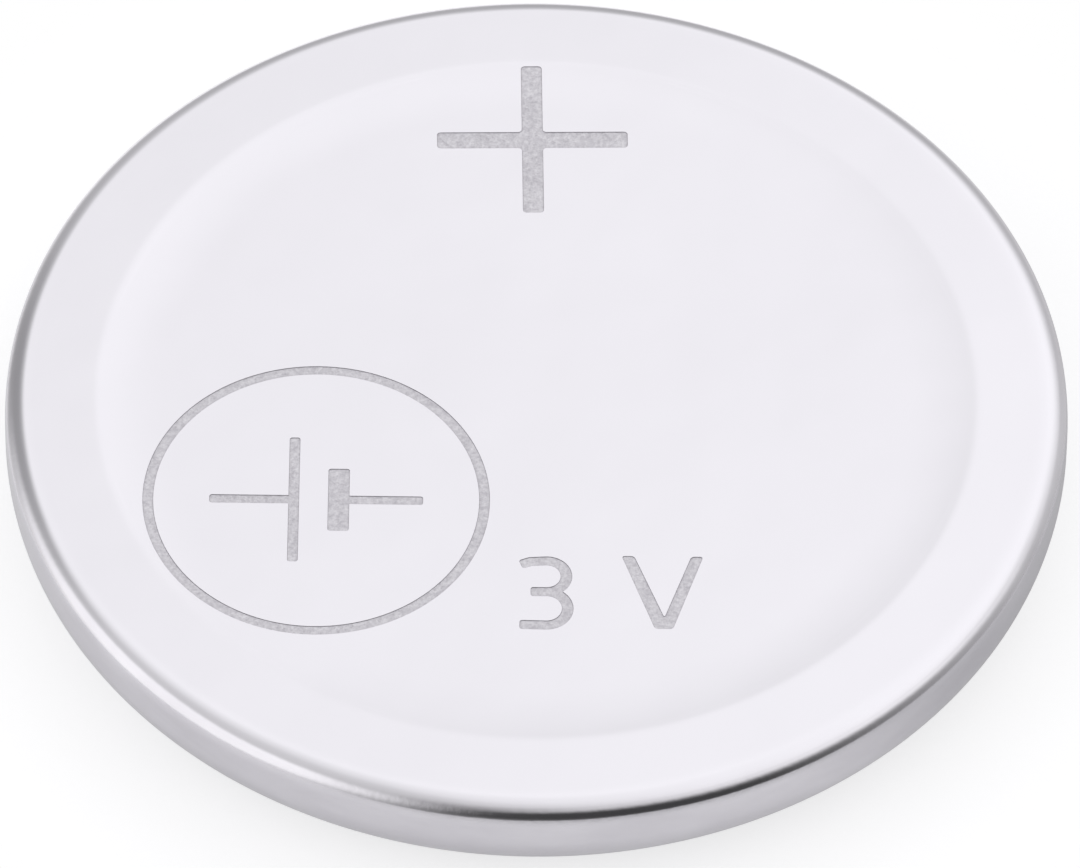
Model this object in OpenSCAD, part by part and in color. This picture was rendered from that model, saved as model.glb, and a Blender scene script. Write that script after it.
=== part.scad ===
// Lithium coin cell, 20 mm across and 2.5 mm thick.
// A drawn positive can is crimped over a moulded gasket onto a stamped negative cap, and the
// electrodes are stacked between them. +Z is up and the cell lies on its negative cap, whose
// contact face is at z = 0. Millimetres.

/* [Cell] */
// Outside diameter over the can's wall
cell_d = 20.0; // [18:0.1:24]
// Height from the cap's contact face to the can's raised rim
cell_h = 2.5; // [2.3:0.05:3.2]

/* [Positive can] */
// Thickness of the can's sheet
can_sheet = 0.25; // [0.2:0.01:0.3]
// Inside radius of the bend between the can's face and its wall
can_bend = 0.12; // [0.06:0.01:0.2]
// Width of the raised rim round the face, from the wall to the edge of the recess
rim_w = 1.72; // [1.2:0.02:2.4]
// Depth of the recess pressed into the face
recess_depth = 0.06; // [0.02:0.01:0.12]
// Width over which the recess falls from its edge to its flat floor
recess_run = 1.3; // [0.6:0.1:2.4]
// Outside radius of the crimp that closes the foot of the wall
crimp_r = 1.1; // [0.9:0.05:1.25]
// Angle that the crimp turns through, from the wall to the lip
crimp_turn = 84; // [70:1:88]
// Height of the crimp's lowest line above the cap's contact face
lip_rise = 0.45; // [0.3:0.05:0.6]

/* [Negative cap] */
// Thickness of the cap's sheet
cap_sheet = 0.25; // [0.2:0.01:0.3]
// Inside radius of the cap's bends
cap_bend = 0.12; // [0.06:0.01:0.2]

/* [Sealing gasket] */
// Thickness of the outer wall, between the can and the cap's skirt
gasket_wall = 0.45; // [0.3:0.05:0.6]
// Thickness of the foot, between the skirt's end and the can's face
gasket_foot = 0.3; // [0.2:0.05:0.4]
// Thickness of the short inner wall behind the skirt
gasket_hook_t = 0.25; // [0.15:0.05:0.35]
// Height left free between the inner wall's end and the bend at the skirt's foot
gasket_hook_gap = 0.18; // [0.05:0.01:0.35]
// Thickness that is left where the crimp squeezes the gasket onto the cap's shoulder
seal_t = 0.2; // [0.12:0.02:0.3]
// Width of the gasket's edge that shows between the can's lip and the cap
seal_show_w = 0.38; // [0.2:0.02:0.6]
// Height of the bead that the squeeze raises on that edge
seal_bead_h = 0.04; // [0.02:0.01:0.06]

/* [Electrodes] */
// Thickness of the lithium disc
anode_t = 0.45; // [0.3:0.05:0.6]
// Radial gap between the lithium disc and the cap's wall
anode_gap = 0.5; // [0.1:0.05:0.8]
// Thickness of the separator's cloth
separator_t = 0.2; // [0.1:0.05:0.25]
// Height of the separator's turned-up edge, from its underside
separator_h = 0.6; // [0.4:0.05:0.8]
// Inside radius of the separator's turned-up edge
separator_bend = 0.1; // [0.05:0.01:0.15]
// Bevel on the pressed pellet's edges
pellet_bevel = 0.12; // [0.06:0.01:0.2]
// Radial gap round the separator and round the pellet
stack_gap = 0.05; // [0.02:0.01:0.1]

/* [Collector grid] */
// Thickness of the expanded sheet
grid_t = 0.1; // [0.05:0.01:0.15]
// Distance from the grid's rim to the edge of the recess's flat floor
grid_margin = 0.08; // [0:0.02:0.5]
// Length of one mesh, the long way
mesh_long = 2.0; // [1.6:0.1:3]
// Height of one mesh, the short way
mesh_short = 1.2; // [0.9:0.1:1.6]
// Width of a strand of the mesh
mesh_strand = 0.24; // [0.16:0.02:0.3]

/* [Hidden] */

$fn = 128;
recess_steps = 6;

cell_r = cell_d / 2;
recess_r = cell_r - rim_w;
recess_floor_r = recess_r - recess_run;

// The crimp's arc is centred on this line, and its inner surface ends at the lip
crimp_axis_r = cell_r - crimp_r;
crimp_axis_z = lip_rise + crimp_r;
lip_in_r = crimp_axis_r + (crimp_r - can_sheet) * cos(crimp_turn);

// The cap's shoulder lies under the crimp with the squeezed gasket between them
seal_z = lip_rise + can_sheet;
shoulder_z = seal_z + seal_t;
seal_in_r = lip_in_r - seal_show_w;
cap_r = seal_in_r - cap_bend;
cap_bend_out = cap_bend + cap_sheet;
skirt_r = cell_r - can_sheet - gasket_wall;
skirt_in_r = skirt_r - cap_sheet;
skirt_top = cell_h - can_sheet - gasket_foot;
gasket_in_r = skirt_in_r - gasket_hook_t;
hook_z = shoulder_z + cap_bend_out + gasket_hook_gap;

// The stack, from the cap up to the can: lithium, separator, pellet, grid
well_r = cap_r - cap_sheet;
anode_top = cap_sheet + anode_t;
separator_r = well_r - stack_gap;
pellet_r = separator_r - separator_t - stack_gap;
pellet_z = anode_top + separator_t;
grid_top = cell_h - recess_depth - can_sheet;
grid_z = grid_top - grid_t;
grid_r = recess_floor_r - grid_margin;

// Sliver between a square corner and the arc that rounds it. side points from the corner
// towards the arc's centre.
module corner(at, radius, side) {
    difference() {
        translate(at + radius * (side - [1, 1]) / 2) square(radius);
        translate(at + radius * side) circle(radius);
    }
}

// Section of the recess in a face at height z: a flat floor that curves up to the recess's edge
module recess_section(z) {
    slope = [for (i = [0 : recess_steps])
        [recess_floor_r + recess_run * i / recess_steps,
         z - recess_depth * (1 - pow(i / recess_steps, 2))]];
    polygon(concat([[0, z - recess_depth]], slope, [[recess_r, cell_h * 2], [0, cell_h * 2]]));
}

// Section of all that lies inside the can's outer surface, or inside its inner surface where
// inset is the sheet's thickness
module can_region(inset) {
    wall_r = cell_r - inset;
    face_z = cell_h - inset;
    foot_z = lip_rise + inset;
    difference() {
        translate([0, foot_z]) square([wall_r, face_z - foot_z]);
        corner([wall_r, face_z], can_bend + can_sheet - inset, [-1, -1]);
        corner([wall_r, foot_z], crimp_r - inset, [-1, 1]);
        recess_section(face_z);
    }
}

// Section of the mouth that the crimp leaves open, out to its cut lip
module mouth_section() {
    reach = 2 * crimp_r;
    lip_ray = [crimp_axis_r + reach * cos(crimp_turn), crimp_axis_z - reach * sin(crimp_turn)];
    polygon([[0, crimp_axis_z], [crimp_axis_r, crimp_axis_z], lip_ray, [0, lip_ray.y]]);
}

// Section of all that lies above the cap's outer surface up to the skirt's end, or above its
// inner surface where inset is the sheet's thickness
module cap_region(inset) {
    edge_r = cap_r - inset;
    skirt_edge_r = skirt_r - inset;
    step_z = shoulder_z + inset;
    difference() {
        translate([0, inset]) square([skirt_edge_r, skirt_top]);
        corner([skirt_edge_r, step_z], cap_bend_out - inset, [-1, 1]);
        corner([edge_r, inset], cap_bend_out - inset, [-1, 1]);
        difference() {
            translate([edge_r, 0]) square([skirt_r, step_z]);
            corner([edge_r, step_z], cap_bend + inset, [1, -1]);
        }
    }
}

// Drawn can: face with its recess, wall, and the crimp that turns in under the gasket
module positive_can() {
    color([0.90, 0.89, 0.92]) rotate_extrude() difference() {
        can_region(0);
        can_region(can_sheet);
        mouth_section();
    }
}

// Stamped cap: contact face, shoulder, and the skirt that stands up inside the gasket
module negative_cap() {
    color([0.84, 0.84, 0.86]) rotate_extrude() difference() {
        cap_region(0);
        cap_region(cap_sheet);
    }
}

// Section of the bead on the gasket's edge, from the cap to where the crimp starts to curve up
module bead_section() {
    half_w = max(crimp_axis_r - seal_in_r, 2 * seal_bead_h) / 2;
    bead_r = (pow(half_w, 2) + pow(seal_bead_h, 2)) / (2 * seal_bead_h);
    intersection() {
        translate([seal_in_r + half_w, seal_z - seal_bead_h + bead_r]) circle(bead_r);
        translate([seal_in_r, seal_z - seal_bead_h]) square([2 * half_w, 2 * seal_bead_h]);
    }
}

// Moulded gasket: it fills the space between can and cap and hooks over the skirt's end
module sealing_gasket() {
    hook_h = skirt_top + gasket_foot / 2 - hook_z;
    color([0.16, 0.16, 0.17]) rotate_extrude() {
        bead_section();
        difference() {
            can_region(can_sheet);
            cap_region(0);
            square([seal_in_r, shoulder_z]);
            translate([0, skirt_top]) square([gasket_in_r, cell_h]);
        }
        translate([gasket_in_r, hook_z]) square([gasket_hook_t, hook_h]);
    }
}

// Punched lithium disc, pressed onto the cap's inner face
module lithium_anode() {
    color([0.66, 0.67, 0.70]) translate([0, 0, cap_sheet])
        cylinder(h = anode_t, r = well_r - anode_gap);
}

// Non-woven cloth pressed to a shallow dish, between the lithium and the pellet
module separator() {
    color([0.95, 0.95, 0.93]) rotate_extrude() difference() {
        translate([0, anode_top]) square([separator_r, separator_h]);
        corner([separator_r, anode_top], separator_bend + separator_t, [-1, 1]);
        difference() {
            translate([0, pellet_z]) square([separator_r - separator_t, separator_h]);
            corner([separator_r - separator_t, pellet_z], separator_bend, [-1, 1]);
        }
    }
}

// Pressed cathode pellet, with bevelled edges
module cathode_pellet() {
    bevel = min(pellet_bevel, (grid_z - pellet_z) / 3);
    color([0.15, 0.15, 0.16]) rotate_extrude() polygon([
        [0, pellet_z], [pellet_r - bevel, pellet_z], [pellet_r, pellet_z + bevel],
        [pellet_r, grid_z - bevel], [pellet_r - bevel, grid_z], [0, grid_z]]);
}

// One diamond opening of the mesh, smaller than its cell by half a strand on each side
module mesh_opening() {
    a = mesh_long / 2;
    b = mesh_short / 2;
    k = 1 - mesh_strand / 2 * norm([a, b]) / (a * b);
    polygon([[k * a, 0], [0, k * b], [-k * a, 0], [0, -k * b]]);
}

// Disc of expanded sheet between the pellet and the can: staggered diamonds inside a plain rim
module collector_grid() {
    clear_r = grid_r - mesh_long / 2;
    rows = floor(2 * clear_r / mesh_short);
    columns = floor(clear_r / mesh_long) + 1;
    color([0.62, 0.62, 0.64]) translate([0, 0, grid_z]) linear_extrude(grid_t) difference() {
        circle(grid_r);
        for (row = [-rows : rows], column = [-columns : columns]) {
            at = [(column + (row % 2 == 0 ? 0 : 0.5)) * mesh_long, row * mesh_short / 2];
            if (norm(at) < clear_r) translate(at) mesh_opening();
        }
    }
}

positive_can();
negative_cap();
sealing_gasket();
lithium_anode();
separator();
cathode_pellet();
collector_grid();
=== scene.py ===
# %% [markdown]
# A lithium coin cell, dressed for its portrait
#
# The cell is 20 mm across and 2.5 mm thick. From outside only three of its pieces show: a drawn steel can
# with its face up, the steel cap it rests on, and the thin ring of plastic that the crimp squeezes
# between them. All three are turned shapes, so each is modelled here as one fine section spun round the
# cell's axis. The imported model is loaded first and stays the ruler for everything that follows.

# %% Load the frame
import math

import bpy
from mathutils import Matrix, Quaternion, Vector


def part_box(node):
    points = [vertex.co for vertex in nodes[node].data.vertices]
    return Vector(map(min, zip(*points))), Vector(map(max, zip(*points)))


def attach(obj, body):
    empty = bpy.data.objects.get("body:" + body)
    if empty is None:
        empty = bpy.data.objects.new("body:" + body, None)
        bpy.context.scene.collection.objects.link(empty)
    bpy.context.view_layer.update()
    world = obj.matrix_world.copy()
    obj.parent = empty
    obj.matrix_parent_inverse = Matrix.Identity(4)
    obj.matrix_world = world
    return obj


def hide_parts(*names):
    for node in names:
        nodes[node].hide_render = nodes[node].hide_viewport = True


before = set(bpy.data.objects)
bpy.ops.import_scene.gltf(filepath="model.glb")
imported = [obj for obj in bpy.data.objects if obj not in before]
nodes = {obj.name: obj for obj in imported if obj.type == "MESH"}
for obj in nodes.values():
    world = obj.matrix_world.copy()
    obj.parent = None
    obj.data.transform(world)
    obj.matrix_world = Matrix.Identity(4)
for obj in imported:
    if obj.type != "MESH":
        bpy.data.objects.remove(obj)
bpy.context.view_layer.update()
MM = 0.001
print("loaded", sorted(nodes))

# %% [markdown]
# Operators work on whatever is selected, just as they do by hand, and the loaded pieces arrive selected.
# So the first helper leaves exactly one object selected and active. The second gives a finished mesh its
# modifier for good, because the exported piece should hold the real shape.


# %% Selecting and applying
def pick(obj):
    """Leave only this object selected and active."""
    bpy.ops.object.select_all(action="DESELECT")
    obj.select_set(True)
    bpy.context.view_layer.objects.active = obj


def apply_modifier(obj, kind, **settings):
    """Add a modifier with these settings and apply it."""
    pick(obj)
    modifier = obj.modifiers.new(kind.lower(), kind)
    for name, value in settings.items():
        setattr(modifier, name, value)
    bpy.ops.object.modifier_apply(modifier=modifier.name)


# %% [markdown]
# Everything here starts as a chain of points. A plane is merged to a single point, which is then extruded
# from place to place, as one would click a chain of points by hand. Bends are arcs, and one small function
# works out their points.

# %% Arcs and chains
MERGE = 0.0002 * MM


def arc(centre, radius, start, end, steps):
    """Points of an arc round a centre, between two angles in degrees."""
    angles = [math.radians(start + (end - start) * i / steps) for i in range(steps + 1)]
    return [(centre[0] + radius * math.cos(a), centre[1] + radius * math.sin(a)) for a in angles]


def chain(name, points):
    """Draw a chain of edges through points in millimetres, and leave it selected in edit mode."""
    bpy.ops.object.select_all(action="DESELECT")
    bpy.ops.mesh.primitive_plane_add(size=MM, location=(0, 0, 0))
    piece = bpy.context.object
    piece.name = piece.data.name = name
    bpy.ops.object.mode_set(mode="EDIT")
    bpy.ops.mesh.select_mode(type="VERT")
    bpy.ops.mesh.select_all(action="SELECT")
    bpy.ops.mesh.merge(type="CENTER")
    places = [Vector(point) * MM for point in points]
    bpy.ops.transform.translate(value=places[0])
    for here, there in zip(places, places[1:]):
        bpy.ops.mesh.extrude_region_move(TRANSFORM_OT_translate={"value": there - here})
    bpy.ops.mesh.select_all(action="SELECT")
    bpy.ops.mesh.remove_doubles(threshold=MERGE)
    bpy.ops.mesh.select_all(action="SELECT")
    return piece


# %% [markdown]
# A turned piece needs only its section, a chain whose points are a distance from the axis and a height. The
# spin tool sweeps it round. Points on the axis come out many times over, so they are merged, and since a
# spin can leave faces looking inward, the normals are worked out again.
#
# Why 256 steps: a 20 mm circle then has facets a quarter of a millimetre long, too short to show as corners.

# %% Spinning
SPIN_STEPS = 256


def spun(name, section):
    """Spin a section, in millimetres, round the cell's axis."""
    piece = chain(name, [(r, 0, z) for r, z in section])
    bpy.ops.mesh.spin(steps=SPIN_STEPS, angle=2 * math.pi, center=(0, 0, 0), axis=(0, 0, 1))
    bpy.ops.mesh.select_all(action="SELECT")
    bpy.ops.mesh.remove_doubles(threshold=MERGE)
    bpy.ops.mesh.normals_make_consistent(inside=False)
    bpy.ops.object.mode_set(mode="OBJECT")
    print(name, len(piece.data.vertices), "vertices", len(piece.data.polygons), "faces")
    return piece


# %% [markdown]
# The overall radius and height come from the frame. The sheet, the bends and the crimp repeat the sizes
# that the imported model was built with, in millimetres, so the fine pieces seat where the plain ones did.

# %% Sizes shared by can, cap and gasket
can_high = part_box("positive_can")[1] / MM
gasket_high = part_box("sealing_gasket")[1] / MM
CELL_R = can_high.x
FACE_Z = can_high.z
SHEET = FACE_Z - gasket_high.z
BEND = 0.12
BEND_OUT = BEND + SHEET
CRIMP_R = 1.1
CRIMP_TURN = 84
LIP_RISE = 0.45
crimp_axis = (CELL_R - CRIMP_R, LIP_RISE + CRIMP_R)
print(f"radius {CELL_R:.3f}, face at {FACE_Z:.3f}, sheet {SHEET:.3f}")

# %% [markdown]
# The can's face isn't flat. Inside a raised rim it dips by six hundredths of a millimetre, steepest at the
# edge and easing to a flat floor, and the rim itself falls a little towards the wall. Nobody would see such
# slopes as shapes, but metal is a mirror, and a slope of a few degrees moves what it reflects by twice as
# much. This is what draws the soft rings in the photograph. The dip is a power curve, steepest at the edge,
# and a square root rounds off the line where it meets the rim.

# %% The height of the face
RIM_W = 1.72
RECESS_RUN = 1.3
RECESS_DEPTH = 0.06
RIM_SOFTNESS = 0.004
SLOPE_POWER = 2.4
RIM_SLOPE = 1.4
recess_r = CELL_R - RIM_W
floor_r = recess_r - RECESS_RUN


def dip(r):
    """How far the face has sunk below the rim's crest at distance r from the axis."""
    t = max(0.0, (r - floor_r) / RECESS_RUN)
    sunk = RECESS_DEPTH * (1 - t ** SLOPE_POWER)
    return 0.5 * (sunk + math.hypot(sunk, RIM_SOFTNESS))


def face_height(r):
    """Height of the face at distance r from the axis."""
    return FACE_Z - dip(r) - max(0.0, r - recess_r) * math.tan(math.radians(RIM_SLOPE))


print("dish depth", round(face_height(recess_r) - face_height(0), 3))

# %% [markdown]
# A spun face is only as curved as its rings allow, so they stand close where the face bends and far apart
# where it is flat.

# %% Rings on the face
SLOPE_RINGS = 30
FIRST_RING = floor_r - 0.1
LAST_RING = recess_r + 0.3
FLOOR_RINGS = (0, 1.5, 3.0, 4.5, 6.0)
RIM_RINGS = (8.9, 9.3)
ring_gap = (LAST_RING - FIRST_RING) / SLOPE_RINGS
slope_rings = [FIRST_RING + ring_gap * i for i in range(SLOPE_RINGS + 1)]
face_rings = [*FLOOR_RINGS, *slope_rings, *RIM_RINGS]
print("rings on the face:", len(face_rings))

# %% [markdown]
# The bend between the can's face and its wall isn't one arc. The wall leans in slightly before it, then it
# turns tight, and it eases towards the face. So three arcs follow each other, each starting where and in
# the direction that the last one ends. Each is given by its radius, the angle it ends at, counted from
# the upright wall, and its number of steps. The whole bend is then lifted to meet the face.

# %% The bend at the face's edge
BEND_ARCS = ((1.5, 8, 6), (0.28, 65, 22), (0.59, 90 - RIM_SLOPE, 12))
bend = [(CELL_R, 0)]
reached = 0
for radius, end, steps in BEND_ARCS:
    turned = math.radians(reached)
    centre = (bend[-1][0] - radius * math.cos(turned), bend[-1][1] - radius * math.sin(turned))
    bend += arc(centre, radius, reached, end, steps)[1:]
    reached = end
edge_r = bend[-1][0]
bend_lift = face_height(edge_r) - bend[-1][1]
bend = [(r, z + bend_lift) for r, z in bend]
print(f"the bend takes up the last {CELL_R - edge_r:.2f} mm of the face")

# %% [markdown]
# The can is one drawn sheet. Its section runs from the axis along the inside, round the inner bend, down the
# wall and round the crimp to the cut lip, and back along the outside. Two extra rings keep the straight part
# of the wall evenly shaded. A small bevel takes the edge off the lip, where the blank was sheared.

# %% The positive can
LIP_BEVEL = 0.04
LIP_ANGLE = math.radians(60)
WALL_RING = 0.05
inner_bend_at = (CELL_R - BEND_OUT, FACE_Z - BEND_OUT)
inside = [(r, FACE_Z - SHEET - dip(r)) for r in face_rings]
inside += arc(inner_bend_at, BEND, 90, 0, steps=8)
inside += arc(crimp_axis, CRIMP_R - SHEET, 0, -CRIMP_TURN, steps=24)
outside = arc(crimp_axis, CRIMP_R, -CRIMP_TURN, 0, steps=40)
outside += [(CELL_R, crimp_axis[1] + WALL_RING), (CELL_R, bend[0][1] - WALL_RING)]
outside += bend
outside += [(r, face_height(r)) for r in reversed(face_rings)]
can = spun("can_shell", inside + outside)
apply_modifier(can, "BEVEL", width=LIP_BEVEL * MM, segments=3, limit_method="ANGLE", angle_limit=LIP_ANGLE)
print("with its lip bevelled", len(can.data.polygons), "faces")

# %% [markdown]
# The marks are etched about a hundredth of a millimetre into the face. The polarity mark and the voltage
# are the same on every cell of this kind. To etch at one depth everywhere, also where the dish rises, the
# cutters need a floor that follows the face: a slab is spun whose underside is the face's own curve, sunk
# by the depth, and each mark is the part of that slab under its outline.

# %% A slab with the face's curve for its underside
ETCH_DEPTH = 0.01
SLAB_TOP = FACE_Z + 0.4
slab_section = [(r, face_height(r) - ETCH_DEPTH) for r in face_rings]
slab = spun("etch_slab", [*slab_section, (face_rings[-1], SLAB_TOP), (0, SLAB_TOP)])

# %% [markdown]
# Every cutter starts as a chain or a face a little below the etched floor, and is pushed up through the
# face. A bevel rounds its corners, because an etching mask never has a sharp one.

# %% Raising and placing a cutter
CUT_LOW = FACE_Z - 0.2
CUT_RISE = 0.4
CORNER = 0.05
CORNER_ANGLE = math.radians(40)


def raise_up():
    """Push the selected chain or face up, and go back to object mode."""
    bpy.ops.mesh.extrude_region_move(TRANSFORM_OT_translate={"value": (0, 0, CUT_RISE * MM)})
    bpy.ops.mesh.select_all(action="SELECT")
    bpy.ops.mesh.normals_make_consistent(inside=False)
    bpy.ops.object.mode_set(mode="OBJECT")


def finish_cutter(piece, at, turn, corner):
    """Round the corners of a cutter drawn round the axis, then turn it and move it to its place."""
    apply_modifier(piece, "BEVEL", width=corner * MM, segments=4, limit_method="ANGLE",
                   angle_limit=CORNER_ANGLE)
    piece.rotation_euler = (0, 0, math.radians(turn))
    piece.location = (at[0] * MM, at[1] * MM, 0)
    pick(piece)
    bpy.ops.object.transform_apply(location=True, rotation=True, scale=True)
    return piece


# %% [markdown]
# Two kinds of cutter are enough. A plate is an outline, filled and pushed up. A line is drawn as with a
# pen: the chain is pushed up to a thin wall, and the solidify modifier gives the wall the width of the
# stroke. Cutters that overlap are welded, so that a boolean never meets a wall inside another.


# %% Plates and pen lines
def plate(name, corners, at=(0, 0), turn=0.0, corner=CORNER):
    """An upright prism over a filled outline."""
    piece = chain(name, [(x, y, CUT_LOW) for x, y in corners])
    bpy.ops.mesh.edge_face_add()
    raise_up()
    return finish_cutter(piece, at, turn, corner)


def line(name, points, width, at=(0, 0)):
    """An upright wall of one width along a chain of points."""
    piece = chain(name, [(x, y, CUT_LOW) for x, y in points])
    raise_up()
    apply_modifier(piece, "SOLIDIFY", thickness=width * MM, offset=0, use_even_offset=True)
    return finish_cutter(piece, at, 0.0, CORNER)


def weld(first, second):
    """Unite two cutters that overlap."""
    apply_modifier(first, "BOOLEAN", operation="UNION", solver="EXACT", object=second)
    bpy.data.objects.remove(second)
    return first


# %% [markdown]
# The polarity mark is one outline with twelve corners, worked out from the length and half the width of its
# arms. It is turned a degree, as it is on the real cell.

# %% The polarity mark
PLUS_AT = (-0.136, 6.37)
PLUS_LONG = 1.815
PLUS_HALF = 0.2
PLUS_TURN = 1.2
PLUS_CORNER = 0.07
quarter = [(PLUS_LONG, -PLUS_HALF), (PLUS_LONG, PLUS_HALF), (PLUS_HALF, PLUS_HALF)]
plus_corners = []
for turn in range(4):
    c, s = round(math.cos(turn * math.pi / 2)), round(math.sin(turn * math.pi / 2))
    plus_corners += [(c * x - s * y, s * x + c * y) for x, y in quarter]
plus = plate("polarity", plus_corners, PLUS_AT, PLUS_TURN, PLUS_CORNER)
print("polarity mark", len(plus.data.polygons), "faces")

# %% [markdown]
# The voltage is drawn in the same plain strokes as the mark. The figure is two bowls that share the middle
# bar, and the letter is an outline, because its ends and its foot are cut level.

# %% The voltage
STROKE = 0.215
BAR_Y = -4.72
BOWL_X = 0.225
UPPER_BOWL, UPPER_R = (BOWL_X, -4.35), 0.37
LOWER_BOWL, LOWER_R = (BOWL_X, -5.12), 0.40
upper_bowl = [(-0.26, -4.07), (-0.08, -4.0), *arc(UPPER_BOWL, UPPER_R, 95, -90, steps=24), (-0.07, BAR_Y)]
lower_bowl = [(0.05, BAR_Y), *arc(LOWER_BOWL, LOWER_R, 90, -90, steps=24), (-0.27, -5.51)]
three = weld(line("bowl_upper", upper_bowl, STROKE), line("bowl_lower", lower_bowl, STROKE))
V_TOP = -3.84
V_FOOT = -5.58
V_NOTCH = -5.31
V_CORNER = 0.06
volt_corners = [(1.62, V_TOP), (2.25, V_FOOT), (2.585, V_FOOT), (3.145, V_TOP), (2.92, V_TOP),
                (2.425, V_NOTCH), (1.855, V_TOP)]
volt = plate("volt", volt_corners, corner=V_CORNER)
print("voltage", len(three.data.polygons), "and", len(volt.data.polygons), "faces")

# %% [markdown]
# A ring on the left holds the circuit symbol of a cell: a long thin plate beside a short thick one, each
# with its lead.

# %% The ring and the cell symbol
RING_AT = (-4.10, -2.56)
RING_R = 3.15
LINE_W = 0.2
ring = line("mark_ring", arc((0, 0), RING_R, 0, 360, steps=128), LINE_W, RING_AT)
LONG_PLATE = 1.5
SHORT_PLATE = 0.75
GAP = 0.42
LEAD = 2.0
plate_long = line("plate_long", [(-GAP, -LONG_PLATE), (-GAP, LONG_PLATE)], LINE_W, RING_AT)
plate_short = line("plate_short", [(GAP, -SHORT_PLATE), (GAP, SHORT_PLATE)], 2 * LINE_W, RING_AT)
lead_left = line("lead_left", [(-LEAD, 0), (-GAP, 0)], LINE_W, RING_AT)
lead_right = line("lead_right", [(GAP, 0), (LEAD, 0)], LINE_W, RING_AT)
left_half = weld(plate_long, lead_left)
right_half = weld(plate_short, lead_right)
print("ring", len(ring.data.polygons), "faces")

# %% [markdown]
# All the cutters are joined and cut to the slab. The boolean carries their own material into the can along
# with the new faces, so the etched floor needs no painting afterwards.

# %% Etch the marks into the face
etched = bpy.data.materials.new("etched_nickel")
satin = bpy.data.materials.new("satin_nickel")
can.data.materials.append(satin)
slab.data.materials.append(etched)
marks = [plus, three, volt, ring, left_half, right_half]
for mark in marks:
    mark.data.materials.clear()
    mark.data.materials.append(etched)
pick(plus)
for mark in marks:
    mark.select_set(True)
bpy.ops.object.join()
cut = {"solver": "EXACT", "material_mode": "TRANSFER"}
apply_modifier(plus, "BOOLEAN", operation="INTERSECT", object=slab, **cut)
apply_modifier(can, "BOOLEAN", operation="DIFFERENCE", object=plus, **cut)
for tool in (plus, slab):
    bpy.data.objects.remove(tool)
count = sum(1 for face in can.data.polygons if can.data.materials[face.material_index] == etched)
print("etched faces", count, "of", len(can.data.polygons))

# %% [markdown]
# The cap is stamped from the same sheet: a flat contact face, a riser, a shoulder that lies under the crimp,
# and a skirt that stands up inside the gasket.

# %% The negative cap
SEAL = 0.2
SEAL_SHOWS = 0.38
GASKET_WALL = 0.45
GASKET_FOOT = 0.3
FLAT_RINGS = (0, 2, 4, 6)
FLAT_EDGE = (0.2, 0.03)
shoulder_z = LIP_RISE + SHEET + SEAL
lip_in_r = crimp_axis[0] + (CRIMP_R - SHEET) * math.cos(math.radians(CRIMP_TURN))
seal_in_r = lip_in_r - SEAL_SHOWS
cap_r = seal_in_r - BEND
contact_r = cap_r - BEND_OUT
skirt_r = CELL_R - SHEET - GASKET_WALL
skirt_top = FACE_Z - SHEET - GASKET_FOOT
face_bend_at = (contact_r, BEND_OUT)
step_bend_at = (cap_r + BEND, shoulder_z - BEND)
skirt_bend_at = (skirt_r - BEND_OUT, shoulder_z + BEND_OUT)
flat_rings = [*FLAT_RINGS, *(contact_r - gap for gap in FLAT_EDGE)]
underside = [(r, 0) for r in flat_rings]
underside += arc(face_bend_at, BEND_OUT, -90, 0, steps=20)
underside += arc(step_bend_at, BEND, 180, 90, steps=10)
underside += arc(skirt_bend_at, BEND_OUT, -90, 0, steps=14)
upperside = arc(skirt_bend_at, BEND, 0, -90, steps=8)
upperside += arc(step_bend_at, BEND_OUT, 90, 180, steps=12)
upperside += arc(face_bend_at, BEND, 0, -90, steps=8)
upperside += [(r, SHEET) for r in reversed(flat_rings)]
cap = spun("cap_shell", [*underside, (skirt_r, skirt_top), (skirt_r - SHEET, skirt_top), *upperside])

# %% [markdown]
# The gasket fills what is left between can and cap, and hooks over the skirt's end. Only its edge can be
# seen, in the groove between the lip and the cap, where the squeeze raises a low bead.

# %% The sealing gasket
GASKET_HOOK = 0.25
HOOK_GAP = 0.18
BEAD = 0.04
skirt_in_r = skirt_r - SHEET
gasket_in_r = skirt_in_r - GASKET_HOOK
hook_z = shoulder_z + BEND_OUT + HOOK_GAP
bead_half = (crimp_axis[0] - seal_in_r) / 2
bead_r = (bead_half ** 2 + BEAD ** 2) / (2 * BEAD)
bead_at = (seal_in_r + bead_half, LIP_RISE + SHEET - BEAD + bead_r)
bead_turn = math.degrees(math.asin(bead_half / bead_r))
gasket_section = arc(bead_at, bead_r, -90 - bead_turn, -90 + bead_turn, steps=10)
gasket_section += arc(crimp_axis, CRIMP_R - SHEET, -90, 0, steps=26)
gasket_section += arc(inner_bend_at, BEND, 0, 90, steps=8)
gasket_section += [(gasket_in_r, FACE_Z - SHEET), (gasket_in_r, hook_z), (skirt_in_r, hook_z)]
gasket_section += [(skirt_in_r, skirt_top), (skirt_r, skirt_top)]
gasket_section += arc(skirt_bend_at, BEND_OUT, 0, -90, steps=14)
gasket_section += [(seal_in_r, shoulder_z)]
gasket = spun("gasket_ring", [*gasket_section, gasket_section[0]])

# %% [markdown]
# A spun surface is still made of small flat faces. Smooth shading blends them where two of them meet at
# less than a set angle, so the bends run round evenly, and the cut edges stay crisp.

# %% Smooth the turned surfaces
SHARP = math.radians(28)
for piece in (can, cap, gasket):
    pick(piece)
    bpy.ops.object.shade_smooth_by_angle(angle=SHARP)
    print(piece.name, "smoothed")

# %% [markdown]
# Colours are written as the hex values a photograph would give. Blender counts light in linear steps, so
# one function turns them linear.


# %% Colours
def linear(code):
    """A hex colour as linear red, green, blue and alpha."""
    parts = [int(code[i : i + 2], 16) / 255 for i in (1, 3, 5)]
    return [c / 12.92 if c <= 0.04045 else ((c + 0.055) / 1.055) ** 2.4 for c in parts] + [1.0]


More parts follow.
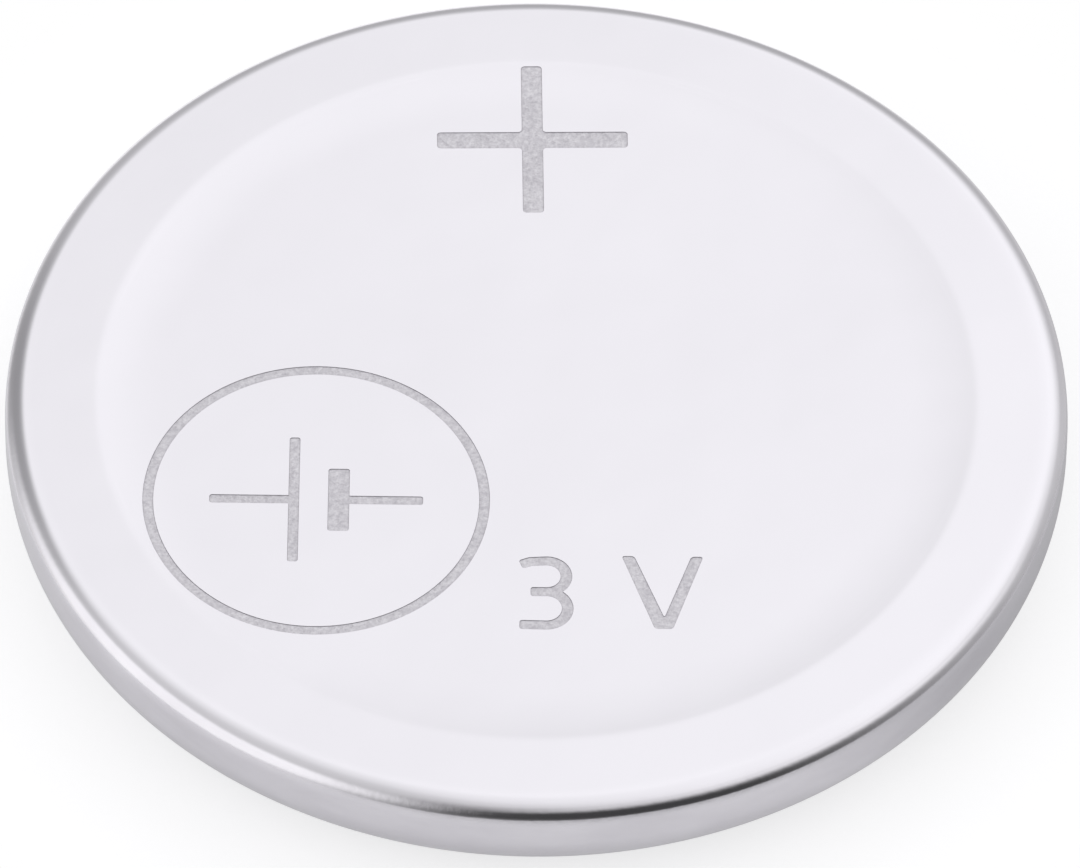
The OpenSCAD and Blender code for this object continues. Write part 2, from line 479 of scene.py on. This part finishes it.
WHITE = linear("#FFFFFF")
print("middle grey is", round(linear("#808080")[0], 3), "in linear light")

# %% [markdown]
# Materials are built from nodes, and one function adds a node, with its settings, and links its inputs.
# Every pattern is drawn on the piece's own coordinates, and its scale comes from a size in millimetres.
#
# The Mix node has sockets for numbers and for colours under the same names, so they are picked by number.

# %% Nodes
NUMBER_A, NUMBER_B = 2, 3
COLOUR_A, COLOUR_B, COLOUR_OUT = 6, 7, 2


def add_node(tree, kind, inputs=None, **settings):
    """Add a node with its settings, and feed its inputs with values or with other nodes' outputs."""
    node = tree.nodes.new(kind)
    for name, value in settings.items():
        setattr(node, name, value)
    for name, value in (inputs or {}).items():
        if isinstance(value, bpy.types.NodeSocket):
            tree.links.new(value, node.inputs[name])
        else:
            node.inputs[name].default_value = value
    return node


def start_material(material):
    """Empty a material's tree and return it with the coordinates that its patterns are drawn on."""
    material.use_nodes = True
    tree = material.node_tree
    tree.nodes.clear()
    return tree, add_node(tree, "ShaderNodeTexCoord").outputs["Object"]


def per_mm(size):
    """Texture scale at which a feature is this many millimetres across."""
    return 1 / (size * MM)


# %% [markdown]
# Nickel-plated stainless steel, as rolled and drawn. The face keeps the mill's fine satin, and towards the
# edge the sheet was pulled round the die, so the metal there is smoother but uneven. A mask made from the
# distance to the axis moves from one to the other.

# %% Satin nickel: where the sheet was drawn
drawn_from = edge_r + 0.1
drawn_full = CELL_R - 0.05
tree, place = start_material(satin)
flat_place = add_node(tree, "ShaderNodeVectorMath", {0: place, 1: (1, 1, 0)}, operation="MULTIPLY")
reach = add_node(tree, "ShaderNodeVectorMath", {0: flat_place.outputs[0]}, operation="LENGTH")
drawn = add_node(tree, "ShaderNodeMapRange", {
    "Value": reach.outputs["Value"], "From Min": drawn_from * MM, "From Max": drawn_full * MM,
}, interpolation_type="SMOOTHSTEP")
print(f"drawn metal from {drawn_from:.2f} mm outwards")

# %% [markdown]
# The face has a faint haze in its colour, as broad as handling leaves it. On the wall the haze is finer
# and stronger, and a Mapping node presses it together in height, so that it lies in bands round the cell.

# %% Satin nickel: colours
FACE_HAZE = 5.0
WALL_HAZE = 1.8
haze = add_node(tree, "ShaderNodeTexNoise", {
    "Vector": place, "Scale": per_mm(FACE_HAZE), "Detail": 3.0, "Roughness": 0.5})
face_colour = add_node(tree, "ShaderNodeMix", {
    "Factor": haze.outputs["Fac"], COLOUR_A: linear("#ECEAF0"), COLOUR_B: linear("#F1EFF5"),
}, data_type="RGBA")
lines_place = add_node(tree, "ShaderNodeMapping", {"Vector": place, "Scale": (1, 1, 3)})
lines = add_node(tree, "ShaderNodeTexNoise", {
    "Vector": lines_place.outputs[0], "Scale": per_mm(WALL_HAZE), "Detail": 4.0, "Roughness": 0.55})
wall_colour = add_node(tree, "ShaderNodeMix", {
    "Factor": lines.outputs["Fac"], COLOUR_A: linear("#DAD7DD"), COLOUR_B: linear("#EFEDF2"),
}, data_type="RGBA")
colour = add_node(tree, "ShaderNodeMix", {
    "Factor": drawn.outputs[0], COLOUR_A: face_colour.outputs[COLOUR_OUT],
    COLOUR_B: wall_colour.outputs[COLOUR_OUT]}, data_type="RGBA")
print("haze of", FACE_HAZE, "mm on the face and", WALL_HAZE, "mm on the wall")

# %% [markdown]
# A soft mirror shows every unevenness, so the bump does more than the colour: a slow wander over the whole
# sheet, and a fine orange peel where the metal was drawn. The bend is a little more polished than the face,
# because it rubbed against the die.

# %% Satin nickel: polish and bump
FACE_ROUGHNESS = 0.24
BEND_ROUGHNESS = 0.16
polish_from = edge_r - 0.2
polish = add_node(tree, "ShaderNodeMapRange", {
    "Value": reach.outputs["Value"], "From Min": polish_from * MM, "From Max": drawn_from * MM,
    "To Min": FACE_ROUGHNESS, "To Max": BEND_ROUGHNESS}, interpolation_type="SMOOTHSTEP")
wander = add_node(tree, "ShaderNodeTexNoise", {"Vector": place, "Scale": per_mm(3.5), "Detail": 2.0})
wander_bump = add_node(tree, "ShaderNodeBump", {
    "Height": wander.outputs["Fac"], "Strength": 1.0, "Distance": 0.03 * MM})
peel = add_node(tree, "ShaderNodeTexNoise", {"Vector": place, "Scale": per_mm(0.16), "Detail": 3.0})
peel_depth = add_node(tree, "ShaderNodeMath", {0: drawn.outputs[0], 1: 0.003 * MM}, operation="MULTIPLY")
peel_bump = add_node(tree, "ShaderNodeBump", {
    "Height": peel.outputs["Fac"], "Strength": 1.0, "Distance": peel_depth.outputs[0],
    "Normal": wander_bump.outputs[0]})
steel = add_node(tree, "ShaderNodeBsdfPrincipled", {
    "Base Color": colour.outputs[COLOUR_OUT], "Metallic": 1.0, "Roughness": polish.outputs[0],
    "Normal": peel_bump.outputs[0]})
add_node(tree, "ShaderNodeOutputMaterial", {"Surface": steel.outputs[0]})
print(satin.name, len(tree.nodes), "nodes")

# %% [markdown]
# Etched nickel: the acid leaves a frosted floor a shade darker than the sheet. The real grain is finer than
# a pixel, so it is drawn at a twelfth of a millimetre, like fine sand, as coarse as it needs to show. A
# thin darker line round each mark is painted shade: ambient occlusion within a few hundredths of a
# millimetre darkens the floor's colour where a wall stands close by, in the etched corners.

# %% Etched nickel
tree, place = start_material(etched)
frost = add_node(tree, "ShaderNodeTexNoise", {
    "Vector": place, "Scale": per_mm(0.085), "Detail": 4.0, "Roughness": 0.75})
contrast = add_node(tree, "ShaderNodeMapRange", {
    "Value": frost.outputs["Fac"], "From Min": 0.3, "From Max": 0.7})
frosted = add_node(tree, "ShaderNodeMix", {
    "Factor": contrast.outputs[0], COLOUR_A: linear("#C8C5CC"), COLOUR_B: linear("#F1EFF4"),
}, data_type="RGBA")
# Painted shade in the etched corners: the occlusion mixes the darker colour in where a wall stands close.
corner = add_node(tree, "ShaderNodeAmbientOcclusion", {"Distance": 0.06 * MM}, samples=8, only_local=True)
clear_of_corner_shade = add_node(tree, "ShaderNodeMapRange", {
    "Value": corner.outputs["AO"], "From Min": 0.55, "From Max": 0.95})
colour = add_node(tree, "ShaderNodeMix", {
    "Factor": clear_of_corner_shade.outputs[0], COLOUR_A: linear("#9E9BA2"), COLOUR_B: frosted.outputs[COLOUR_OUT],
}, data_type="RGBA")
frost_bump = add_node(tree, "ShaderNodeBump", {
    "Height": frost.outputs["Fac"], "Strength": 1.0, "Distance": 0.01 * MM})
steel = add_node(tree, "ShaderNodeBsdfPrincipled", {
    "Base Color": colour.outputs[COLOUR_OUT], "Metallic": 1.0, "Roughness": 0.5,
    "Normal": frost_bump.outputs[0]})
add_node(tree, "ShaderNodeOutputMaterial", {"Surface": steel.outputs[0]})
print(etched.name, len(tree.nodes), "nodes")

# %% [markdown]
# Stainless steel for the cap, stamped and tumbled: a fine satin with a faint cloud of handling marks. The
# marks change the polish as well as the colour, as fingers do. The tumbling grain is drawn coarser than it
# is, so that it shows at all.

# %% Tumbled stainless
tumbled = bpy.data.materials.new("tumbled_stainless")
tree, place = start_material(tumbled)
cloud = add_node(tree, "ShaderNodeTexNoise", {"Vector": place, "Scale": per_mm(2.2), "Detail": 4.0})
colour = add_node(tree, "ShaderNodeMix", {
    "Factor": cloud.outputs["Fac"], COLOUR_A: linear("#CFCED2"), COLOUR_B: linear("#E2E1E5"),
}, data_type="RGBA")
matt = add_node(tree, "ShaderNodeMapRange", {"Value": cloud.outputs["Fac"], "To Min": 0.24, "To Max": 0.38})
grain = add_node(tree, "ShaderNodeTexNoise", {"Vector": place, "Scale": per_mm(0.08), "Detail": 2.0})
grain_bump = add_node(tree, "ShaderNodeBump", {
    "Height": grain.outputs["Fac"], "Strength": 1.0, "Distance": 0.001 * MM})
steel = add_node(tree, "ShaderNodeBsdfPrincipled", {
    "Base Color": colour.outputs[COLOUR_OUT], "Metallic": 1.0, "Roughness": matt.outputs[0],
    "Normal": grain_bump.outputs[0]})
add_node(tree, "ShaderNodeOutputMaterial", {"Surface": steel.outputs[0]})
cap.data.materials.append(tumbled)
print(tumbled.name, len(tree.nodes), "nodes")

# %% [markdown]
# Moulded polypropylene for the gasket: near black, waxy, with the soft highlight of a plastic that was
# never polished.

# %% Black polypropylene
polypropylene = bpy.data.materials.new("black_polypropylene")
tree, place = start_material(polypropylene)
flow = add_node(tree, "ShaderNodeTexNoise", {"Vector": place, "Scale": per_mm(0.5), "Detail": 3.0})
colour = add_node(tree, "ShaderNodeMix", {
    "Factor": flow.outputs["Fac"], COLOUR_A: linear("#1E1E20"), COLOUR_B: linear("#2C2C2F"),
}, data_type="RGBA")
flow_bump = add_node(tree, "ShaderNodeBump", {
    "Height": flow.outputs["Fac"], "Strength": 1.0, "Distance": 0.004 * MM})
plastic = add_node(tree, "ShaderNodeBsdfPrincipled", {
    "Base Color": colour.outputs[COLOUR_OUT], "Roughness": 0.42, "IOR": 1.49,
    "Normal": flow_bump.outputs[0]})
add_node(tree, "ShaderNodeOutputMaterial", {"Surface": plastic.outputs[0]})
gasket.data.materials.append(polypropylene)
print(polypropylene.name, len(tree.nodes), "nodes")

# %% [markdown]
# The inner pieces never show in the closed cell, but each keeps its own finish for anyone who opens the
# model. The first is lithium, which is so soft that the rollers leave long lines in it, and which turns
# dull grey in patches. A Mapping node stretches the noise along the lines.

# %% Rolled lithium
lithium = bpy.data.materials.new("rolled_lithium")
tree, place = start_material(lithium)
rolled = add_node(tree, "ShaderNodeMapping", {"Vector": place, "Scale": (0.12, 1, 1)})
lines = add_node(tree, "ShaderNodeTexNoise", {
    "Vector": rolled.outputs[0], "Scale": per_mm(0.25), "Detail": 4.0})
tarnish = add_node(tree, "ShaderNodeTexNoise", {"Vector": place, "Scale": per_mm(3.0), "Detail": 5.0})
colour = add_node(tree, "ShaderNodeMix", {
    "Factor": tarnish.outputs["Fac"], COLOUR_A: linear("#8F9094"), COLOUR_B: linear("#C4C5CA"),
}, data_type="RGBA")
line_bump = add_node(tree, "ShaderNodeBump", {
    "Height": lines.outputs["Fac"], "Strength": 1.0, "Distance": 0.006 * MM})
metal = add_node(tree, "ShaderNodeBsdfPrincipled", {
    "Base Color": colour.outputs[COLOUR_OUT], "Metallic": 1.0, "Roughness": 0.45,
    "Normal": line_bump.outputs[0]})
add_node(tree, "ShaderNodeOutputMaterial", {"Surface": metal.outputs[0]})
print(lithium.name, len(tree.nodes), "nodes")

# %% [markdown]
# The separator is cloth without a weave: white polypropylene fibres, blown into a tangle and pressed. A
# noise distorted by itself looks like such a tangle. Real fibres are hair-thin, so it is drawn coarser, at
# a quarter of a millimetre.

# %% Non-woven cloth
cloth = bpy.data.materials.new("nonwoven_polypropylene")
tree, place = start_material(cloth)
tangle = add_node(tree, "ShaderNodeTexNoise", {
    "Vector": place, "Scale": per_mm(0.25), "Detail": 4.0, "Roughness": 0.7, "Distortion": 2.5})
colour = add_node(tree, "ShaderNodeMix", {
    "Factor": tangle.outputs["Fac"], COLOUR_A: linear("#D8D8D4"), COLOUR_B: linear("#F7F7F4"),
}, data_type="RGBA")
fibre_bump = add_node(tree, "ShaderNodeBump", {
    "Height": tangle.outputs["Fac"], "Strength": 1.0, "Distance": 0.03 * MM})
fibres = add_node(tree, "ShaderNodeBsdfPrincipled", {
    "Base Color": colour.outputs[COLOUR_OUT], "Roughness": 0.85, "Sheen Weight": 0.2,
    "Normal": fibre_bump.outputs[0]})
add_node(tree, "ShaderNodeOutputMaterial", {"Surface": fibres.outputs[0]})
print(cloth.name, len(tree.nodes), "nodes")

# %% [markdown]
# The pellet is black manganese dioxide powder, pressed so hard that it holds together like chalk. Voronoi
# cells make its grains, drawn coarser than the powder is, with darker gaps between them.

# %% Pressed manganese dioxide
powder = bpy.data.materials.new("pressed_black_powder")
tree, place = start_material(powder)
grains = add_node(tree, "ShaderNodeTexVoronoi", {"Vector": place, "Scale": per_mm(0.15)})
colour = add_node(tree, "ShaderNodeMix", {
    "Factor": grains.outputs["Distance"], COLOUR_A: linear("#3A3A3C"), COLOUR_B: linear("#1C1C1E"),
}, data_type="RGBA")
grain_bump = add_node(tree, "ShaderNodeBump", {
    "Height": grains.outputs["Distance"], "Strength": 1.0, "Distance": 0.02 * MM})
pressed = add_node(tree, "ShaderNodeBsdfPrincipled", {
    "Base Color": colour.outputs[COLOUR_OUT], "Roughness": 0.9, "Normal": grain_bump.outputs[0]})
add_node(tree, "ShaderNodeOutputMaterial", {"Surface": pressed.outputs[0]})
print(powder.name, len(tree.nodes), "nodes")

# %% [markdown]
# The grid is stainless sheet, slit and pulled open. It keeps the rolled sheet's brightness, with fine
# scratches that only its colour needs to show.

# %% Expanded grid steel
bright = bpy.data.materials.new("expanded_stainless")
tree, place = start_material(bright)
scratch = add_node(tree, "ShaderNodeTexNoise", {"Vector": place, "Scale": per_mm(0.3), "Detail": 5.0})
colour = add_node(tree, "ShaderNodeMix", {
    "Factor": scratch.outputs["Fac"], COLOUR_A: linear("#A3A3A7"), COLOUR_B: linear("#C9C9CD"),
}, data_type="RGBA")
metal = add_node(tree, "ShaderNodeBsdfPrincipled", {
    "Base Color": colour.outputs[COLOUR_OUT], "Metallic": 1.0, "Roughness": 0.32})
add_node(tree, "ShaderNodeOutputMaterial", {"Surface": metal.outputs[0]})
print(bright.name, len(tree.nodes), "nodes")

# %% [markdown]
# The loaded inner pieces only need their finish. The three spun pieces take the places of the packed
# ones: each rides on the cell's body, and the node it replaces is hidden.

# %% Dress the inner pieces and seat the new ones
finishes = {
    "lithium_anode": lithium,
    "separator": cloth,
    "cathode_pellet": powder,
    "collector_grid": bright,
}
for name, finish in finishes.items():
    nodes[name].data.materials.clear()
    nodes[name].data.materials.append(finish)
seats = (
    (can, "positive_can", "can_steel"),
    (cap, "negative_cap", "cap_steel"),
    (gasket, "sealing_gasket", "gasket_plastic"),
)
for piece, node, slot in seats:
    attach(piece, "root")
    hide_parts(node)
print("pieces", [piece.name for piece, _, _ in seats], "and", sorted(finishes))

# %% [markdown]
# A polished thing is a picture of its room. This room is a bright tent, open and dark towards the camera,
# with a window low on the left. Such a room can be painted straight onto the world by direction, with no
# cards to stand in the way of other views. Each patch is a soft spot: its azimuth, from the camera's side
# towards +X, and its elevation, in degrees; how much wider than tall it is; the reach of its even middle
# and of its soft edge, as parts of a unit sphere; and its brightness. Later patches lie over earlier ones.

# %% The room's patches
ROOM_LEVEL = 0.66
ROOM = {
    "ceiling, right": (38, 38, 2.7, 0.00, 1.49, 1.36),
    "gap, back left": (-86, 29, 0.7, 0.84, 0.33, 0.21),
    "panel, behind": (163, 43, 1.4, 0.10, 0.60, 1.08),
    "ceiling, back": (146, 64, 4.2, 0.53, 0.41, 1.08),
    "table, far edge": (186, -27, 0.7, 0.24, 0.16, 1.11),
    "opening, camera": (-14, -12, 1.4, 0.83, 1.17, 0.06),
    "table": (252, -76, 0.5, 0.38, 0.81, 1.12),
    "window, left": (-69, 12, 0.9, 0.48, 0.57, 1.15),
    "gap, upper left": (-78, 63, 2.5, 0.07, 0.88, 0.70),
    "horizon, behind": (179, 12, 2.0, 0.09, 0.92, 0.48),
    "seam, behind": (188, 45, 1.4, 0.06, 0.15, 0.95),
}
print("patches in the room:", len(ROOM))

# %% [markdown]
# On the world, Generated is simply the direction one looks in. The distance from that direction to a
# patch's own, squashed in height, gives the patch a soft round mask, and the masks mix one brightness over
# another. The camera itself sees plain white instead, which is the picture's background.

# %% The room, painted on the world
world = bpy.data.worlds.new("room")
bpy.context.scene.world = world
world.use_nodes = True
tree = world.node_tree
tree.nodes.clear()
look = add_node(tree, "ShaderNodeTexCoord").outputs["Generated"]
level = ROOM_LEVEL
for azimuth, elevation, squash, middle, edge, brightness in ROOM.values():
    a, e = math.radians(azimuth), math.radians(elevation)
    centre = (math.sin(a) * math.cos(e), -math.cos(a) * math.cos(e), math.sin(e))
    away = add_node(tree, "ShaderNodeVectorMath", {0: look, 1: centre}, operation="SUBTRACT")
    shaped = add_node(tree, "ShaderNodeVectorMath", {
        0: away.outputs[0], 1: (1, 1, squash)}, operation="MULTIPLY")
    apart = add_node(tree, "ShaderNodeVectorMath", {0: shaped.outputs[0]}, operation="LENGTH")
    mask = add_node(tree, "ShaderNodeMapRange", {
        "Value": apart.outputs["Value"], "From Min": middle + edge, "From Max": middle,
    }, interpolation_type="SMOOTHSTEP")
    level = add_node(tree, "ShaderNodeMix", {
        "Factor": mask.outputs[0], NUMBER_A: level, NUMBER_B: brightness}).outputs[0]
ray = add_node(tree, "ShaderNodeLightPath")
seen = add_node(tree, "ShaderNodeMix", {
    "Factor": ray.outputs["Is Camera Ray"], NUMBER_A: level, NUMBER_B: 1.0})
sky = add_node(tree, "ShaderNodeBackground", {"Color": WHITE, "Strength": seen.outputs[0]})
add_node(tree, "ShaderNodeOutputWorld", {"Surface": sky.outputs[0]})
print("room", len(tree.nodes), "nodes")

# %% [markdown]
# The cell lies on a small round of white paper. It is a circle of edges, extruded and shrunk to the cap's
# flat face, so that it is cut out where the cap stands and the cell's underside can be looked at too.

# %% The paper
PAPER_R = 15.0
bpy.ops.object.select_all(action="DESELECT")
bpy.ops.mesh.primitive_circle_add(vertices=96, radius=PAPER_R * MM, fill_type="NOTHING", location=(0, 0, 0))
floor = bpy.context.object
floor.name = "paper"
bpy.ops.object.mode_set(mode="EDIT")
bpy.ops.mesh.select_mode(type="VERT")
bpy.ops.mesh.select_all(action="SELECT")
bpy.ops.mesh.extrude_region_move()
bpy.ops.transform.resize(value=[contact_r / PAPER_R] * 3)
bpy.ops.object.mode_set(mode="OBJECT")
if floor.data.polygons[0].normal.z < 0:
    floor.data.flip_normals()
hole = min(math.hypot(point.co.x, point.co.y) for point in floor.data.vertices)
print(f"paper {PAPER_R:.0f} mm, cut out to {hole / MM:.2f} mm")

# %% [markdown]
# The paper catches the soft contact shadow, and a little light of its own lifts it to an even white.
# The wall of the can mirrors it close up, so reflected rays get a lift as well. That lift carries painted
# shade: it falls off towards the right, and towards the cell's foot, where the paper lies in the contact
# shadow.

# %% White paper: its lift
PAPER_LIFT = 0.69
MIRROR_LEFT = 0.42
MIRROR_RIGHT = 0.24
MIRROR_FALL = (6.0, 10.0)
FOOT_SHADE = (0.72, 1.1)
FOOT_REACH = (9.0, 12.2)
paper = bpy.data.materials.new("white_paper")
tree, place = start_material(paper)
reach = add_node(tree, "ShaderNodeVectorMath", {0: place}, operation="LENGTH")
across = add_node(tree, "ShaderNodeSeparateXYZ", {0: place})
# Painted shade in what mirrors see: the lift is smaller on the right and near the cell's foot.
mirror_lift = add_node(tree, "ShaderNodeMapRange", {
    "Value": across.outputs["X"], "From Min": MIRROR_FALL[0] * MM, "From Max": MIRROR_FALL[1] * MM,
    "To Min": MIRROR_LEFT, "To Max": MIRROR_RIGHT}, interpolation_type="SMOOTHSTEP")
clear_of_foot = add_node(tree, "ShaderNodeMapRange", {
    "Value": reach.outputs["Value"], "From Min": FOOT_REACH[0] * MM, "From Max": FOOT_REACH[1] * MM,
    "To Min": FOOT_SHADE[0], "To Max": FOOT_SHADE[1]})
shaded_lift = add_node(tree, "ShaderNodeMath", {
    0: mirror_lift.outputs[0], 1: clear_of_foot.outputs[0]}, operation="MULTIPLY")
ray = add_node(tree, "ShaderNodeLightPath")
for_mirrors = add_node(tree, "ShaderNodeMath", {
    0: ray.outputs["Is Glossy Ray"], 1: shaded_lift.outputs[0]}, operation="MULTIPLY")
lift = add_node(tree, "ShaderNodeMath", {
    0: ray.outputs["Is Camera Ray"], 1: PAPER_LIFT, 2: for_mirrors.outputs[0]}, operation="MULTIPLY_ADD")
print("lift for the camera", PAPER_LIFT, "and for mirrors", MIRROR_LEFT, "to", MIRROR_RIGHT)

# %% [markdown]
# The paper's edge fades into the white around it, so that no horizon cuts the picture. From behind it is
# clear altogether, which leaves the view from below open.

# %% White paper: its fading edge
PAPER_SOLID = 11.3
PAPER_FADE = 3.7
faded = add_node(tree, "ShaderNodeMapRange", {
    "Value": reach.outputs["Value"], "From Min": PAPER_SOLID * MM,
    "From Max": (PAPER_SOLID + PAPER_FADE) * MM}, interpolation_type="SMOOTHSTEP")
sheet = add_node(tree, "ShaderNodeBsdfDiffuse", {"Color": linear("#B0B0B2")})
glow = add_node(tree, "ShaderNodeEmission", {"Color": WHITE, "Strength": lift.outputs[0]})
lit = add_node(tree, "ShaderNodeAddShader", {0: sheet.outputs[0], 1: glow.outputs[0]})
clear = add_node(tree, "ShaderNodeBsdfTransparent")
behind = add_node(tree, "ShaderNodeNewGeometry").outputs["Backfacing"]
cleared = add_node(tree, "ShaderNodeMath", {0: faded.outputs[0], 1: behind}, operation="MAXIMUM")
both = add_node(tree, "ShaderNodeMixShader", {
    "Fac": cleared.outputs[0], 1: lit.outputs[0], 2: clear.outputs[0]})
add_node(tree, "ShaderNodeOutputMaterial", {"Surface": both.outputs[0]})
floor.data.materials.append(paper)
print(paper.name, len(tree.nodes), "nodes")

# %% [markdown]
# The camera stands where the photograph's outline says: fifty degrees above the face and about thirty
# centimetres away, behind a long lens. It looks at the point of the face that the picture's centre shows,
# and leans by less than a degree. The focal length was measured in pixels of the photograph.

# %% The camera
IMAGE_W = 1080
ELEVATION = math.radians(50.16)
DISTANCE = 310.1 * MM
ROLL = math.radians(0.673)
FOCAL_PX = 16495
SENSOR_W = 36
CLIP_NEAR, CLIP_FAR = 0.01, 10
LOOK_AT = Vector((0.072, -0.955, FACE_Z)) * MM
camera = bpy.data.objects.new("camera", bpy.data.cameras.new("camera"))
bpy.context.scene.collection.objects.link(camera)
bpy.context.scene.camera = camera
back = Vector((0, -math.cos(ELEVATION), math.sin(ELEVATION)))
camera.location = Vector((0, 0, FACE_Z * MM)) + back * DISTANCE
aim = (LOOK_AT - camera.location).to_track_quat("-Z", "Y") @ Quaternion((0, 0, 1), ROLL)
camera.rotation_mode = "QUATERNION"
camera.rotation_quaternion = aim
camera.data.sensor_width = SENSOR_W
camera.data.lens = FOCAL_PX / IMAGE_W * SENSOR_W
camera.data.clip_start, camera.data.clip_end = CLIP_NEAR, CLIP_FAR
bpy.context.scene.view_settings.view_transform = "Standard"
print(f"lens {camera.data.lens:.0f} mm")
